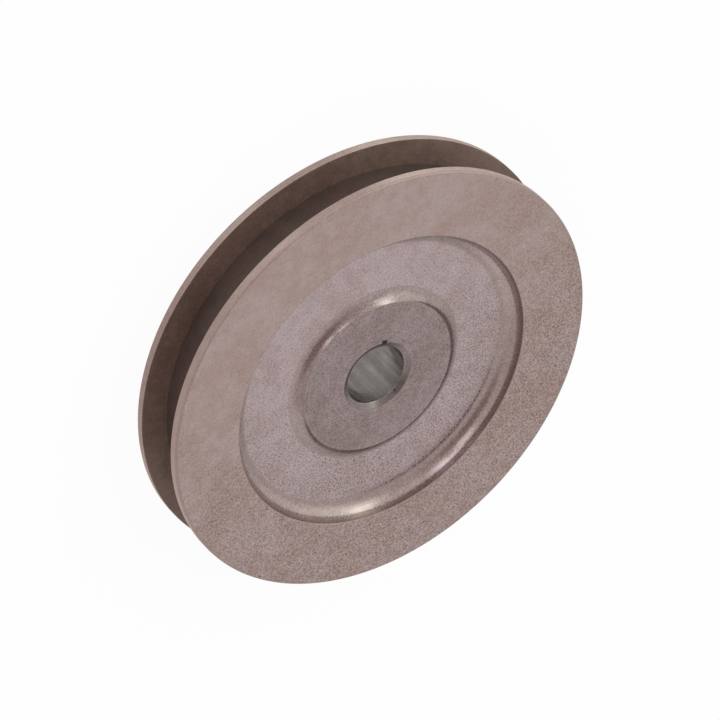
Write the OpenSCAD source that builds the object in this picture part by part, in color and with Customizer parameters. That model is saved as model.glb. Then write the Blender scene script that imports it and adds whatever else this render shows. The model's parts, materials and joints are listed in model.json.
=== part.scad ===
// Drive pulley for a flat belt: one pressed and sintered piece with a bored hub,
// a recessed web and a heavy rim. The belt groove and the bore are turned.
// It lies on its back face, with the shaft axis on Z and the origin below the bore.

/* [Rim] */
// Diameter over the flanges
outside_d = 114.3; // [106:0.1:130]
// Width of the rim, face to face
rim_w = 17.5; // [16.5:0.1:22]
// Radius round the outer edge of each flange face
rim_edge_r = 0.6; // [0.2:0.1:1.2]

/* [Belt groove] */
// Width of the flat belt
belt_w = 10; // [8:0.1:11]
// Side play between the belt and the foot of each flank
belt_play = 0.45; // [0.2:0.05:1]
// Depth of the groove floor below the flanges
groove_depth = 6.1; // [3:0.1:8]
// Lean of each flank away from square to the shaft
flank_deg = 9.3; // [2:0.1:15]

/* [Web] */
// Thickness of the web
web_t = 9.1; // [6:0.1:10.5]
// Diameter of the recess where it breaks the flange face
recess_d = 79.6; // [68:0.1:86]
// Fillet at the foot of the recess wall
recess_fillet_r = 3.9; // [1:0.1:5]
// Radius along the recess edge
recess_edge_r = 0.2; // [0.1:0.1:0.8]

/* [Hub] */
// Diameter of the hub at its faces
hub_d = 41.2; // [30:0.1:50]
// Depth of the front hub face below the flange face
hub_drop = 2.4; // [0:0.1:3.4]
// Radius of the fillet that sweeps from the web up to the hub
hub_fillet_r = 3.9; // [1:0.1:6]

/* [Bore] */
// Diameter of the bore
bore_d = 15.875; // [12:0.005:17.5]
// Widest diameter of the countersink in the front hub face
countersink_d = 18.7; // [18:0.1:24]
// Full angle of the countersink
countersink_deg = 120; // [60:1:140]
// Chamfer at the back end of the bore
back_chamfer = 0.3; // [0.1:0.1:1]

/* [Hidden] */
$fn = 180;

outside_r = outside_d / 2;
recess_r = recess_d / 2;
hub_r = hub_d / 2;
bore_r = bore_d / 2;

mid_z = rim_w / 2;
recess_depth = (rim_w - web_t) / 2;
hub_w = rim_w - hub_drop;

floor_r = outside_r - groove_depth;
floor_half_w = belt_w / 2 + belt_play;
groove_half_w = floor_half_w + groove_depth * tan(flank_deg);

recess_fillet = min(recess_fillet_r, recess_depth - recess_edge_r);

countersink_r = countersink_d / 2;
countersink_depth = (countersink_r - bore_r) / tan(countersink_deg / 2);

// The sliver between a square corner and the quarter circle that rounds it
module corner_sliver(r) {
    difference() {
        square(r);
        translate([r, r])
            circle(r);
    }
}

// A shape on the back half of the section, and its mirror image on the front half
module both_faces() {
    children();
    translate([0, rim_w])
        mirror([0, 1])
            children();
}

// Fillet from the web up the side of the hub, which stands rise above the web
module hub_fillet(rise) {
    height = min(hub_fillet_r, rise);
    sweep = sqrt(height * (2 * hub_fillet_r - height));
    difference() {
        square([sweep, height]);
        translate([sweep, hub_fillet_r])
            circle(hub_fillet_r);
    }
}

module groove_section() {
    polygon([
        [floor_r, mid_z - floor_half_w],
        [outside_r, mid_z - groove_half_w],
        [outside_r, mid_z + groove_half_w],
        [floor_r, mid_z + floor_half_w]
    ]);
}

module rim_section() {
    difference() {
        translate([recess_r, 0])
            square([outside_r - recess_r, rim_w]);
        groove_section();
        both_faces()
            translate([outside_r, 0])
                rotate(90)
                    corner_sliver(rim_edge_r);
        both_faces()
            translate([recess_r, 0])
                corner_sliver(recess_edge_r);
    }
}

module web_section() {
    translate([hub_r, recess_depth])
        square([recess_r - hub_r, web_t]);
    both_faces()
        translate([recess_r, recess_depth])
            rotate(180)
                corner_sliver(recess_fillet);
    translate([hub_r, recess_depth + web_t])
        hub_fillet(recess_depth - hub_drop);
    translate([hub_r, recess_depth])
        mirror([0, 1])
            hub_fillet(recess_depth);
}

module hub_section() {
    difference() {
        translate([bore_r, 0])
            square([hub_r - bore_r, hub_w]);
        polygon([
            [bore_r, hub_w - countersink_depth],
            [countersink_r, hub_w],
            [bore_r, hub_w]
        ]);
        polygon([
            [bore_r, 0],
            [bore_r + back_chamfer, 0],
            [bore_r, back_chamfer]
        ]);
    }
}

module pulley() {
    color([0.60, 0.54, 0.52])
        rotate_extrude() {
            rim_section();
            web_section();
            hub_section();
        }
}

pulley();
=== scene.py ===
import json
import math

import bpy
from mathutils import Matrix, Quaternion, Vector


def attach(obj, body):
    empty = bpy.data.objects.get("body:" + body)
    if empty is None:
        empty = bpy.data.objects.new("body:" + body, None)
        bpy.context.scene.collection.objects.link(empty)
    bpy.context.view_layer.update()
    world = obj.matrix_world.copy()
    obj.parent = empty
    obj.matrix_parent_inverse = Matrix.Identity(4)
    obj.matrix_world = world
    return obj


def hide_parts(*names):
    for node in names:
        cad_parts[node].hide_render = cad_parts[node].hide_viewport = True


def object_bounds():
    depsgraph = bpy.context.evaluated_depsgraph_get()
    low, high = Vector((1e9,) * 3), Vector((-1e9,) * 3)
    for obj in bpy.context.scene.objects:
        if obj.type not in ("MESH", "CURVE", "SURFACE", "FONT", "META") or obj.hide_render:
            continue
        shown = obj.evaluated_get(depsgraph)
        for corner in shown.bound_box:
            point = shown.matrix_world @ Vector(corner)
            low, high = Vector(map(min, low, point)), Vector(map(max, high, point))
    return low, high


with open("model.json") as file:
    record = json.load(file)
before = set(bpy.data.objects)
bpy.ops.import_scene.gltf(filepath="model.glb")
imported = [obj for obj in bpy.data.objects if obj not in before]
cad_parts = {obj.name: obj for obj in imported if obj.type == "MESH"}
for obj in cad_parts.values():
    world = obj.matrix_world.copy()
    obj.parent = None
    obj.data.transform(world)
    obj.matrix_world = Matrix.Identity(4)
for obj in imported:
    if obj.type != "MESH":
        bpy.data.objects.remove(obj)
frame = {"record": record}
cad_low, cad_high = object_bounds()

MM = 0.001

# Section sizes in millimetres, as in the CAD model; the overall ones come from the frame
MOUNTS = {mount["name"]: mount for mount in frame["record"]["mounts"]}
OUTSIDE_R = cad_high.x / MM
RIM_W = cad_high.z / MM
RIM_EDGE_R = 0.6
FLOOR_R = MOUNTS["belt_groove"]["dims"]["r_mm"]
FLOOR_W = MOUNTS["belt_groove"]["dims"]["length_mm"]
FLANK_DEG = 9.3
RECESS_R = 39.8
RECESS_DEPTH = 4.2
RECESS_FILLET_R = 3.9
RECESS_EDGE_R = 0.2
HUB_R = 20.6
HUB_FILLET_R = 3.9
HUB_DROP = RIM_W - MOUNTS["hub_face"]["pos_m"][2] / MM
BORE_R = MOUNTS["bore"]["dims"]["r_mm"]
COUNTERSINK_R = 9.35
COUNTERSINK_DEG = 120
BACK_CHAMFER = 0.3
BACK_CHAMFER_DEG = 90

# Mesh fineness: segments round the axis, steps along the section, and how sharp corners are broken
SEGMENTS = 320
STEP = 4.0
FINE_STEP = 0.14
MARGIN = 0.2
FILLET_STEPS = 14
EDGE_STEPS = 6
EDGE_BREAK = 0.06
CORNER_STEPS = 3
CORNER_DEG = 25
SHARP_DEG = 40

# Marks in the front of the hub, where the mesh is fine: radius, angle, half widths round and out, depth
LIP_W = 1.3
MARKS = {
    "nick": (9.4, 224.1, 0.7, 0.7, 0.7),
    "pit": (8.4, 92.5, 0.35, 0.35, 0.15),
}

# Photo geometry: a square picture, where the front face's centre falls in it, how far off the eye is
PHOTO_PX = 720
FACE_CENTRE_PX = (383.24, 381.69)
FOCAL_PX = 5820
EYE_DISTANCE_IN_RADII = 24
EYE_DISTANCE = EYE_DISTANCE_IN_RADII * OUTSIDE_R * MM
AXIS_TILT = math.radians(48.64)
AXIS_TURN = math.radians(44.06)
SENSOR_MM = 36


def line(start, end, step=STEP):
    """Points from start to end, with one close to each end to keep the face flat."""
    length = math.dist(start, end)
    steps = max(1, math.ceil(length / step))
    stops = [k / steps for k in range(steps + 1)]
    if length > 3 * MARGIN and step > MARGIN:
        stops = sorted(stops + [MARGIN / length, 1 - MARGIN / length])
    return [(start[0] + (end[0] - start[0]) * s, start[1] + (end[1] - start[1]) * s) for s in stops]


def arc(centre, radius, start_deg, end_deg, steps):
    """Points of an arc round centre, its angles counted from straight up towards the rim."""
    angles = [math.radians(start_deg + (end_deg - start_deg) * k / steps) for k in range(steps + 1)]
    return [(centre[0] + radius * math.sin(a), centre[1] - radius * math.cos(a)) for a in angles]


def face(hub_drop, sink_r, sink_deg, lip_step):
    """One face from the bore to the groove floor, as (finish, points) runs of radius and depth."""
    sink_depth = (sink_r - BORE_R) / math.tan(math.radians(sink_deg / 2))
    lip = sink_r + LIP_W
    fillet_h = min(HUB_FILLET_R, RECESS_DEPTH - hub_drop)
    fillet_deg = math.degrees(math.acos(1 - fillet_h / HUB_FILLET_R))
    hub_foot = HUB_R + HUB_FILLET_R * math.sin(math.radians(fillet_deg))
    hub_centre = (hub_foot, RECESS_DEPTH - HUB_FILLET_R)
    foot = RECESS_R - RECESS_FILLET_R
    foot_centre = (foot, RECESS_DEPTH - RECESS_FILLET_R)
    shoulder = RECESS_R + RECESS_EDGE_R
    brow = OUTSIDE_R - RIM_EDGE_R
    floor_depth = (RIM_W - FLOOR_W) / 2
    lip_depth = floor_depth - (OUTSIDE_R - FLOOR_R) * math.tan(math.radians(FLANK_DEG))
    return [
        ("countersink", line((BORE_R, hub_drop + sink_depth), (sink_r, hub_drop), lip_step)),
        ("hub", line((sink_r, hub_drop), (lip, hub_drop), lip_step)),
        ("hub", line((lip, hub_drop), (HUB_R, hub_drop))),
        ("hub_fillet", line((HUB_R, hub_drop), (HUB_R, RECESS_DEPTH - fillet_h))),
        ("hub_fillet", arc(hub_centre, HUB_FILLET_R, 180 + fillet_deg, 180, FILLET_STEPS)),
        ("web", line((hub_foot, RECESS_DEPTH), (foot, RECESS_DEPTH))),
        ("fillet", arc(foot_centre, RECESS_FILLET_R, 180, 90, FILLET_STEPS)),
        ("fillet", line((RECESS_R, foot_centre[1]), (RECESS_R, RECESS_EDGE_R))),
        ("edge", arc((shoulder, RECESS_EDGE_R), RECESS_EDGE_R, -90, 0, EDGE_STEPS)),
        ("flange", line((shoulder, 0), (brow, 0))),
        ("edge", arc((brow, RIM_EDGE_R), RIM_EDGE_R, 0, 90, EDGE_STEPS)),
        ("land", line((OUTSIDE_R, RIM_EDGE_R), (OUTSIDE_R, lip_depth))),
        ("groove", line((OUTSIDE_R, lip_depth), (FLOOR_R, floor_depth))),
    ]


def section():
    """The closed section as (finish, points) runs, each without its last point, clockwise from the bore."""
    front = face(HUB_DROP, COUNTERSINK_R, COUNTERSINK_DEG, FINE_STEP)
    back = face(0, BORE_R + BACK_CHAMFER, BACK_CHAMFER_DEG, STEP)
    over = [(finish, [(r, RIM_W - depth) for r, depth in points]) for finish, points in front]
    under = [(finish, points[::-1]) for finish, points in back[::-1]]
    groove = ("groove_floor", line(over[-1][1][-1], under[0][1][0]))
    bore = ("bore", line(under[-1][1][-1], over[0][1][0]))
    runs = over + [groove] + under + [bore]
    return [(finish, points[:-1]) for finish, points in runs if math.dist(points[0], points[-1]) > 0]


def towards(start, end, distance):
    """The point at a distance from start on the way to end."""
    share = distance / math.dist(start, end)
    return (start[0] + (end[0] - start[0]) * share, start[1] + (end[1] - start[1]) * share)


def break_corners(runs):
    """The same runs with a short rounded run at each corner sharper than CORNER_DEG."""
    broken = []
    for k, (finish, points) in enumerate(runs):
        before, corner = runs[k - 1][1][-1], points[0]
        after = points[1] if len(points) > 1 else runs[(k + 1) % len(runs)][1][0]
        arriving = math.atan2(corner[1] - before[1], corner[0] - before[0])
        leaving = math.atan2(after[1] - corner[1], after[0] - corner[0])
        turn = math.remainder(leaving - arriving, 2 * math.pi)
        if abs(turn) > math.radians(CORNER_DEG):
            a, b = towards(corner, before, EDGE_BREAK), towards(corner, after, EDGE_BREAK)
            shares = [s / CORNER_STEPS for s in range(CORNER_STEPS)]
            rounded = [
                tuple((1 - s) ** 2 * a[i] + 2 * s * (1 - s) * corner[i] + s * s * b[i] for i in range(2))
                for s in shares
            ]
            broken.append((runs[k - 1][0], rounded))
            points = [b] + points[1:]
        broken.append((finish, points))
    return broken


def mark_depth(mark, x, y):
    """How deep a mark goes at a point of the front face, as a four-sided hollow."""
    radius, angle_deg, half_round, half_out, depth = mark
    a = math.radians(angle_deg)
    along = y * math.cos(a) - x * math.sin(a)
    out = x * math.cos(a) + y * math.sin(a) - radius
    return depth * max(0, 1 - max(abs(along) / half_round, abs(out) / half_out))


def deepest_mark(x, y):
    """The name of the mark that goes deepest at a point of the front face, and its depth there."""
    depths = {name: mark_depth(mark, x, y) for name, mark in MARKS.items()}
    name = max(depths, key=depths.get)
    return name, depths[name]


def lathe(name, runs, finishes):
    """A closed mesh turned from the section, with a material for each finish and the marks pressed in."""
    ring = [(finish, point) for finish, points in runs for point in points]
    count = len(ring)
    verts, marks = [], []
    for k in range(SEGMENTS):
        a = 2 * math.pi * k / SEGMENTS
        for _, (r, z) in ring:
            x, y = r * math.cos(a), r * math.sin(a)
            on_front = z > RIM_W / 2 and r > BORE_R + EDGE_BREAK
            mark, depth = deepest_mark(x, y) if on_front else (None, 0)
            verts.append((x * MM, y * MM, (z - depth) * MM))
            marks.append(mark if depth > 0 else None)
    faces, slots = [], []
    order = list(finishes)
    for k in range(SEGMENTS):
        here, there = k * count, (k + 1) % SEGMENTS * count
        for i, (finish, _) in enumerate(ring):
            j = (i + 1) % count
            corners = (here + i, here + j, there + j, there + i)
            faces.append(corners)
            # Faces of a mark take the mark's dark material, painted shade in the hollow
            marked = [marks[v] for v in corners if marks[v]]
            slots.append(order.index(marked[0] if marked else finish))
    mesh = bpy.data.meshes.new(name)
    mesh.from_pydata(verts, [], faces)
    for finish in order:
        mesh.materials.append(finishes[finish])
    mesh.polygons.foreach_set("material_index", slots)
    mesh.polygons.foreach_set("use_smooth", [True] * len(faces))
    mesh.set_sharp_from_angle(angle=math.radians(SHARP_DEG))
    mesh.update()
    obj = bpy.data.objects.new(name, mesh)
    bpy.context.scene.collection.objects.link(obj)
    return obj


# Mix node sockets for colours
MIX_FACTOR, MIX_A, MIX_B, MIX_RESULT = 0, 6, 7, 2

# Texture scales in features per metre, and the height of the surface texture in metres
BLOTCH_SCALE = 75
SMEAR_SCALE = 330
GRAIN_SCALE = 2100
PORE_SCALE = 1300
TURNING_SCALE = 2600
DRAWN_SCALE = 600
TEXTURE_HEIGHT = 0.00001

# Noise detail, and the stretch of each noise or distance that is spread over its full effect
SOFT_DETAIL = 2
MIDDLE_DETAIL = 3
FINE_DETAIL = 4
BLOTCH_RANGE = (0.75, 1.25)
SMOOTH_LIT_RANGE = (0.0, 1.1)
GRAIN_RANGE = (0.3, 0.7)
PORE_RANGE = (0.12, 0.4)
TURNING_RANGE = (0.2, 0.8)
DRAWN_RANGE = (0.25, 0.75)

# How much the drawn lines vary along the axis, as a share of how they vary across it
DRAWN_STRETCH = 0.06

# The grain of a finish that names none
LEAST_GRAIN = 0.1

# The side towards the front lamps, with smoother grain, and how much it is lightened (painted light) and
# polished
SMOOTH_LIT_SIDE_DEG = 255
PAINTED_SIDE_LIGHT = 0.13
SMOOTH_SIDE_GLOSS = 0.08

# How much the grain varies the gloss, and the quarter turn that draws a light out across turned lines
GRAIN_GLOSS = 0.3
ACROSS_LINES = 0.25

# Painted shade along the foot of the recess wall: where it is darkest, and how far it reaches
FOOT_SHADE_R = 36.6
FOOT_SHADE_REACH = 1.3


def node(tree, kind, sockets, **settings):
    """A new node with its settings, and with values or links at its sockets."""
    made = tree.nodes.new(kind)
    for key, value in settings.items():
        setattr(made, key, value)
    for key, value in sockets.items():
        if isinstance(value, bpy.types.NodeSocket):
            tree.links.new(value, made.inputs[key])
        else:
            made.inputs[key].default_value = value
    return made


def noise(tree, where, scale, detail):
    """Solid noise round 0.5."""
    sockets = {"Vector": where, "Scale": scale, "Detail": detail}
    return node(tree, "ShaderNodeTexNoise", sockets).outputs["Fac"]


def maths(tree, operation, a, b):
    """One operation on two values."""
    return node(tree, "ShaderNodeMath", {0: a, 1: b}, operation=operation).outputs[0]


def span(tree, value, low, high, to_low, to_high):
    """A value carried from one range to another, eased and held at the ends."""
    sockets = {"Value": value, "From Min": low, "From Max": high, "To Min": to_low, "To Max": to_high}
    return node(tree, "ShaderNodeMapRange", sockets, interpolation_type="SMOOTHSTEP").outputs["Result"]


def blend(tree, factor, a, b, blend_type="MIX"):
    """Two colours mixed."""
    sockets = {MIX_FACTOR: factor, MIX_A: a, MIX_B: b}
    mixed = node(tree, "ShaderNodeMix", sockets, data_type="RGBA", blend_type=blend_type)
    return mixed.outputs[MIX_RESULT]


def direction(azimuth_deg, elevation_deg):
    """A unit vector, with the azimuth counted from +X towards +Y."""
    azimuth, elevation = math.radians(azimuth_deg), math.radians(elevation_deg)
    level = math.cos(elevation)
    return Vector((level * math.cos(azimuth), level * math.sin(azimuth), math.sin(elevation)))


def along(tree, where, way):
    """How far a place lies along a way."""
    return node(tree, "ShaderNodeVectorMath", {0: where, 1: way}, operation="DOT_PRODUCT").outputs["Value"]


def axis_distance(tree, where):
    """The distance of a place from the shaft axis."""
    flat = node(tree, "ShaderNodeVectorMath", {0: where, 1: (1, 1, 0)}, operation="MULTIPLY")
    length = node(tree, "ShaderNodeVectorMath", {0: flat.outputs["Vector"]}, operation="LENGTH")
    return length.outputs["Value"]


def blotches(tree, where):
    """Large clouds and small smears, from 0 to 1."""
    clouds = noise(tree, where, BLOTCH_SCALE, MIDDLE_DETAIL)
    smears = noise(tree, where, SMEAR_SCALE, MIDDLE_DETAIL)
    return span(tree, maths(tree, "ADD", clouds, smears), *BLOTCH_RANGE, 0.0, 1.0)


def side_smoothing_and_light(tree, where, amount):
    """How much the surface is smoothed, polished and lightened as painted light, most on the side towards
    the front lamps, with a ragged border.
    """
    side = along(tree, where, direction(SMOOTH_LIT_SIDE_DEG, 0) / (OUTSIDE_R * MM))
    ragged = maths(tree, "ADD", side, noise(tree, where, BLOTCH_SCALE, SOFT_DETAIL))
    return span(tree, ragged, *SMOOTH_LIT_RANGE, 0.0, amount)


def grain_texture(tree, where, amount):
    """The grain of the pressed powder, up and down from 0."""
    return span(tree, noise(tree, where, GRAIN_SCALE, SOFT_DETAIL), *GRAIN_RANGE, -amount, amount)


def pore_texture(tree, where, amount):
    """Open pores, each with its own depth."""
    cells = node(tree, "ShaderNodeTexVoronoi", {"Vector": where, "Scale": PORE_SCALE})
    chance = node(tree, "ShaderNodeSeparateColor", {0: cells.outputs["Color"]}).outputs[0]
    dot = span(tree, cells.outputs["Distance"], *PORE_RANGE, amount, 0.0)
    return maths(tree, "MULTIPLY", dot, maths(tree, "MULTIPLY", chance, chance))


def turned_texture(tree, where, amount):
    """Fine lines round the axis, one for each step of the turning tool."""
    height = node(tree, "ShaderNodeSeparateXYZ", {0: where}).outputs["Z"]
    run = maths(tree, "ADD", axis_distance(tree, where), height)
    sockets = {"W": run, "Scale": TURNING_SCALE, "Detail": MIDDLE_DETAIL}
    lines = node(tree, "ShaderNodeTexNoise", sockets, noise_dimensions="1D").outputs["Fac"]
    return span(tree, lines, *TURNING_RANGE, -amount, amount)


def drawn_texture(tree, where, amount):
    """Lines along the axis, left by the pin that sizes the bore."""
    sockets = {0: where, 1: (1, 1, DRAWN_STRETCH)}
    drawn = node(tree, "ShaderNodeVectorMath", sockets, operation="MULTIPLY").outputs["Vector"]
    return span(tree, noise(tree, drawn, DRAWN_SCALE, FINE_DETAIL), *DRAWN_RANGE, -amount, amount)


def painted_foot_shade(tree, where, amount):
    """A ring of painted shade in the foot of the recess."""
    radius = axis_distance(tree, where)
    inside = span(tree, radius, (FOOT_SHADE_R - FOOT_SHADE_REACH) * MM, FOOT_SHADE_R * MM, 0.0, amount)
    outside = span(tree, radius, FOOT_SHADE_R * MM, (FOOT_SHADE_R + FOOT_SHADE_REACH) * MM, 1.0, 0.0)
    return maths(tree, "MULTIPLY", inside, outside)


def iron(name, tint, shade, roughness, metallic=1.0, **marks):
    """Sintered iron in blotched tints; the marks say how much grain, pores, lines, smoothing with painted
    side light and painted foot shade it has.
    """
    material = bpy.data.materials.new(name)
    material.use_nodes = True
    tree = material.node_tree
    bsdf = tree.nodes["Principled BSDF"]
    bsdf.inputs["Metallic"].default_value = metallic
    where = node(tree, "ShaderNodeTexCoord", {}).outputs["Object"]
    level = grain_texture(tree, where, marks.get("grain", LEAST_GRAIN))
    gloss = maths(tree, "ADD", maths(tree, "MULTIPLY", level, GRAIN_GLOSS), roughness)
    if "pores" in marks:
        level = maths(tree, "SUBTRACT", level, pore_texture(tree, where, marks["pores"]))
    # Smoother, glossier grain, and a painted lightening on the side towards the front lamps
    if "rubbed" in marks:
        smooth_and_lit = side_smoothing_and_light(tree, where, marks["rubbed"])
        level = maths(tree, "MULTIPLY", level, maths(tree, "SUBTRACT", 1.0, smooth_and_lit))
        level = maths(tree, "ADD", level, maths(tree, "MULTIPLY", smooth_and_lit, PAINTED_SIDE_LIGHT))
        gloss = maths(tree, "SUBTRACT", gloss, maths(tree, "MULTIPLY", smooth_and_lit, SMOOTH_SIDE_GLOSS))
    if "turned" in marks:
        level = maths(tree, "ADD", level, turned_texture(tree, where, marks["turned"]))
    if "drawn" in marks:
        level = maths(tree, "ADD", level, drawn_texture(tree, where, marks["drawn"]))
    # Painted shade that darkens the foot of the recess
    if "grime" in marks:
        level = maths(tree, "SUBTRACT", level, painted_foot_shade(tree, where, marks["grime"]))
    if "brushed" in marks:
        tangent = node(tree, "ShaderNodeTangent", {}, direction_type="RADIAL", axis="Z")
        tree.links.new(tangent.outputs["Tangent"], bsdf.inputs["Tangent"])
        bsdf.inputs["Anisotropic"].default_value = marks["brushed"]
        bsdf.inputs["Anisotropic Rotation"].default_value = ACROSS_LINES
    level = maths(tree, "ADD", level, 1.0)
    grey = node(tree, "ShaderNodeCombineColor", {0: level, 1: level, 2: level}).outputs[0]
    colour = blend(tree, blotches(tree, where), (*shade, 1), (*tint, 1))
    tree.links.new(blend(tree, 1.0, colour, grey, "MULTIPLY"), bsdf.inputs["Base Color"])
    tree.links.new(gloss, bsdf.inputs["Roughness"])
    relief = node(tree, "ShaderNodeBump", {"Height": level, "Strength": 1.0, "Distance": TEXTURE_HEIGHT})
    tree.links.new(relief.outputs["Normal"], bsdf.inputs["Normal"])
    return material


FINISHES = {
    "flange": iron(
        "flange_iron", (0.387, 0.3, 0.286), (0.355, 0.259, 0.232), 0.4, grain=0.36, pores=0.5, rubbed=0.6
    ),
    "web": iron(
        "web_iron", (0.391, 0.313, 0.318), (0.341, 0.264, 0.256), 0.23,
        grain=0.38, pores=0.58, rubbed=0.44, grime=0.08
    ),
    "hub": iron(
        "hub_iron", (0.321, 0.256, 0.255), (0.268, 0.207, 0.198), 0.38, grain=0.22, pores=0.36, turned=0.1
    ),
    "fillet": iron(
        "fillet_iron", (0.39, 0.309, 0.293), (0.35, 0.268, 0.252), 0.25,
        metallic=0.96, grain=0.16, grime=0.15
    ),
    "hub_fillet": iron(
        "hub_fillet_iron", (0.34, 0.268, 0.26), (0.3, 0.234, 0.224), 0.23, metallic=0.96, grain=0.18
    ),
    "edge": iron("edge_iron", (0.41, 0.316, 0.291), (0.38, 0.288, 0.265), 0.58, grain=0.1),
    "land": iron(
        "land_iron", (0.5, 0.384, 0.346), (0.468, 0.355, 0.318), 0.52, grain=0.1, turned=0.05, brushed=0.9
    ),
    "groove": iron(
        "groove_iron", (0.205, 0.133, 0.104), (0.165, 0.105, 0.082), 0.48,
        metallic=0.3, grain=0.15, turned=0.06
    ),
    # The groove floor: colour darkened well below the flank's, painted shade of the groove bottom
    "groove_floor": iron(
        "groove_floor_iron", (0.085, 0.053, 0.043), (0.067, 0.042, 0.034), 0.45, metallic=0.3, turned=0.06
    ),
    "countersink": iron(
        "countersink_iron", (0.24, 0.205, 0.195), (0.205, 0.171, 0.163), 0.3, turned=0.06, brushed=0.8
    ),
    "bore": iron("bore_iron", (0.42, 0.395, 0.38), (0.36, 0.332, 0.315), 0.24, drawn=0.22, brushed=0.8),
    # Nick and pit: a near-black colour in the hollows, painted shade
    "nick": iron("nick_iron", (0.06, 0.035, 0.03), (0.03, 0.02, 0.018), 0.7, metallic=0.2),
    "pit": iron("pit_iron", (0.1, 0.07, 0.07), (0.07, 0.05, 0.05), 0.6, metallic=0.3),
}

pulley = lathe("pulley_body", break_corners(section()), FINISHES)
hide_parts("pulley")
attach(pulley, "root")


def make_camera():
    """The photo's camera, with the axis tilted away from it and turned towards the lower right."""
    axis = Vector((
        math.sin(AXIS_TILT) * math.cos(AXIS_TURN),
        math.sin(AXIS_TILT) * math.sin(AXIS_TURN),
        -math.cos(AXIS_TILT),
    ))
    level = Vector((-math.sin(AXIS_TURN), math.cos(AXIS_TURN), 0))
    to_part = Matrix((level, axis.cross(level), axis))
    right = to_part @ Vector((1, 0, 0))
    up = to_part @ Vector((0, -1, 0))
    back = to_part @ Vector((0, 0, -1))
    off_x, off_y = [(c - PHOTO_PX / 2) / FOCAL_PX * EYE_DISTANCE for c in FACE_CENTRE_PX]
    eye = Vector((0, 0, cad_high.z)) - to_part @ Vector((off_x, off_y, EYE_DISTANCE))
    data = bpy.data.cameras.new("camera")
    data.sensor_width = SENSOR_MM
    data.lens = FOCAL_PX * SENSOR_MM / PHOTO_PX
    camera = bpy.data.objects.new("camera", data)
    rotation = Matrix((right, up, back)).transposed()
    camera.matrix_world = Matrix.Translation(eye) @ rotation.to_4x4()
    bpy.context.scene.collection.objects.link(camera)
    bpy.context.scene.camera = camera


# The floor: how white it is to the eye, and to the metal, which sees a painted shadow under the part fading
# out from there
WHITE = (1, 1, 1, 1)
FLOOR_SIZE = 6
FLOOR_COLOUR = (0.95, 0.95, 0.95, 1)
FLOOR_WHITE = 0.94
PAINTED_SHADOW_WHITE = 0.4
PAINTED_SHADOW_R = (45, 120)

# The sky: white behind the part, dimmer and warmer on the near side, and the range between the two
FAR_SKY = WHITE
NEAR_SKY = (0.76, 0.72, 0.71, 1)
NEAR_WAY = (282, 20)
NEAR_RANGE = (-0.25, 0.4)
SKY_STRENGTH = 1.0

# Places in the sky: azimuth, elevation, how far each is full and where it ends, and its colour
SKY_PLACES = (
    (228, 14, 8, 44, (0.97, 0.92, 0.9, 1)),
    (308, 68, 12, 30, (0.4, 0.32, 0.32, 1)),
    (90, 0, 14, 42, (0.52, 0.52, 0.53, 1)),
)

# How far off the lamps are, in metres
LAMP_DISTANCE = 0.9


def make_floor():
    """A white floor that takes the part's shadow, with a painted shadow that makes it dimmer to the metal
    near the part.
    """
    bpy.ops.mesh.primitive_plane_add(size=FLOOR_SIZE)
    floor = bpy.context.object
    floor.name = "floor"
    material = bpy.data.materials.new("floor")
    material.use_nodes = True
    tree = material.node_tree
    tree.nodes.clear()
    paint = node(tree, "ShaderNodeBsdfDiffuse", {"Color": FLOOR_COLOUR})
    white = node(tree, "ShaderNodeEmission", {"Color": WHITE, "Strength": 1})
    path = node(tree, "ShaderNodeLightPath", {}).outputs
    where = node(tree, "ShaderNodeTexCoord", {}).outputs["Object"]
    # Painted shadow: mirrored rays see the floor less white near the part, fading out over a ring
    radius = axis_distance(tree, where)
    floor_past_painted_shadow = span(tree, radius, *[r * MM for r in PAINTED_SHADOW_R], PAINTED_SHADOW_WHITE, FLOOR_WHITE)
    mirrored = maths(tree, "MULTIPLY", path["Is Glossy Ray"], floor_past_painted_shadow)
    seen = maths(tree, "MAXIMUM", path["Is Camera Ray"], path["Is Transmission Ray"])
    share = maths(tree, "MAXIMUM", mirrored, maths(tree, "MULTIPLY", seen, FLOOR_WHITE))
    mixed = node(tree, "ShaderNodeMixShader", {0: share, 1: paint.outputs[0], 2: white.outputs[0]})
    node(tree, "ShaderNodeOutputMaterial", {"Surface": mixed.outputs[0]})
    floor.data.materials.append(material)


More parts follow.
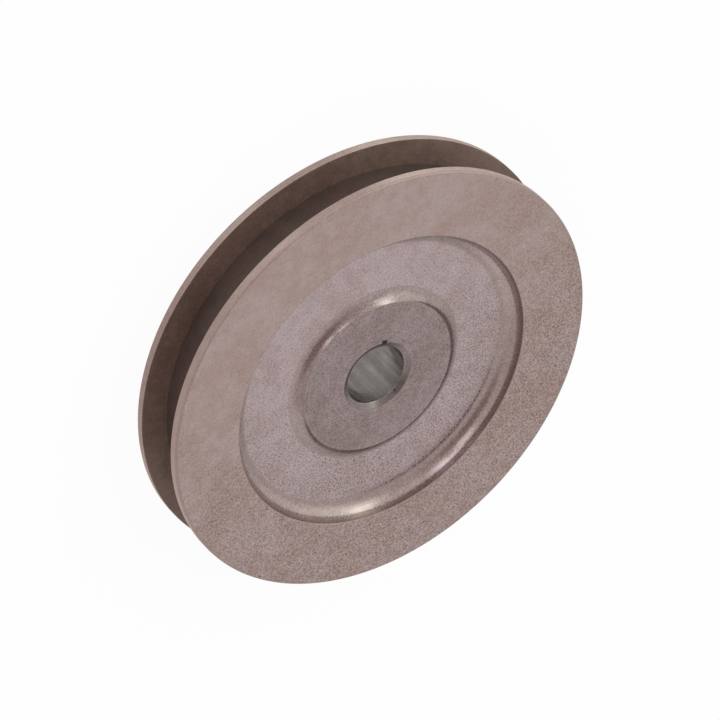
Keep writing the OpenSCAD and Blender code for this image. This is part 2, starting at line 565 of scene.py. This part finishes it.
def make_world():
    """A sky that is dimmer on the near side, with brighter and dimmer places in it."""
    world = bpy.data.worlds.new("studio")
    world.use_nodes = True
    tree = world.node_tree
    sky = node(tree, "ShaderNodeTexCoord", {}).outputs["Generated"]
    nearness = span(tree, along(tree, sky, direction(*NEAR_WAY)), *NEAR_RANGE, 0.0, 1.0)
    colour = blend(tree, nearness, FAR_SKY, NEAR_SKY)
    for azimuth, elevation, full_deg, end_deg, shade in SKY_PLACES:
        full, end = math.cos(math.radians(full_deg)), math.cos(math.radians(end_deg))
        share = span(tree, along(tree, sky, direction(azimuth, elevation)), end, full, 0.0, 1.0)
        colour = blend(tree, share, colour, shade)
    background = tree.nodes["Background"]
    tree.links.new(colour, background.inputs["Color"])
    background.inputs["Strength"].default_value = SKY_STRENGTH
    bpy.context.scene.world = world


def make_lamp(name, azimuth, elevation, width_deg, height_deg, radiance, colour, lean_deg=0):
    """A soft panel facing the part, sized by the angles it fills as seen from there."""
    data = bpy.data.lights.new(name, "AREA")
    data.shape = "RECTANGLE"
    data.size = 2 * LAMP_DISTANCE * math.tan(math.radians(width_deg / 2))
    data.size_y = 2 * LAMP_DISTANCE * math.tan(math.radians(height_deg / 2))
    data.energy = math.pi * data.size * data.size_y * radiance
    data.color = colour
    lamp = bpy.data.objects.new(name, data)
    away = direction(azimuth, elevation)
    lamp.location = away * LAMP_DISTANCE
    lean = Quaternion(away, math.radians(lean_deg))
    lamp.rotation_euler = (lean @ away.to_track_quat("Z", "Y")).to_euler()
    lamp.visible_camera = False
    bpy.context.scene.collection.objects.link(lamp)


make_camera()
make_floor()
make_world()

# Each lamp: azimuth, elevation, width and height in degrees, radiance and colour
make_lamp("window", 197, 20, 14, 38, 2.4, (0.82, 1.0, 0.94), lean_deg=9)
make_lamp("window_top", 185, 46, 15, 18, 0.9, (0.85, 1.0, 0.93))
make_lamp("window_glow", 170, 32, 40, 54, 0.38, (0.85, 1.0, 0.92))
make_lamp("front_strip", 256.5, 20, 7, 38, 2.0, (0.78, 0.85, 1.0))
make_lamp("front_low", 266, 11, 13, 21, 1.6, (0.82, 0.85, 1.0))
make_lamp("front_panel", 281.5, 30, 8, 36, 1.7, (0.93, 0.95, 1.0))
make_lamp("side_strip", 306, 18, 14, 28, 0.15, (0.88, 0.95, 1.0))

bpy.context.scene.view_settings.view_transform = "Standard"
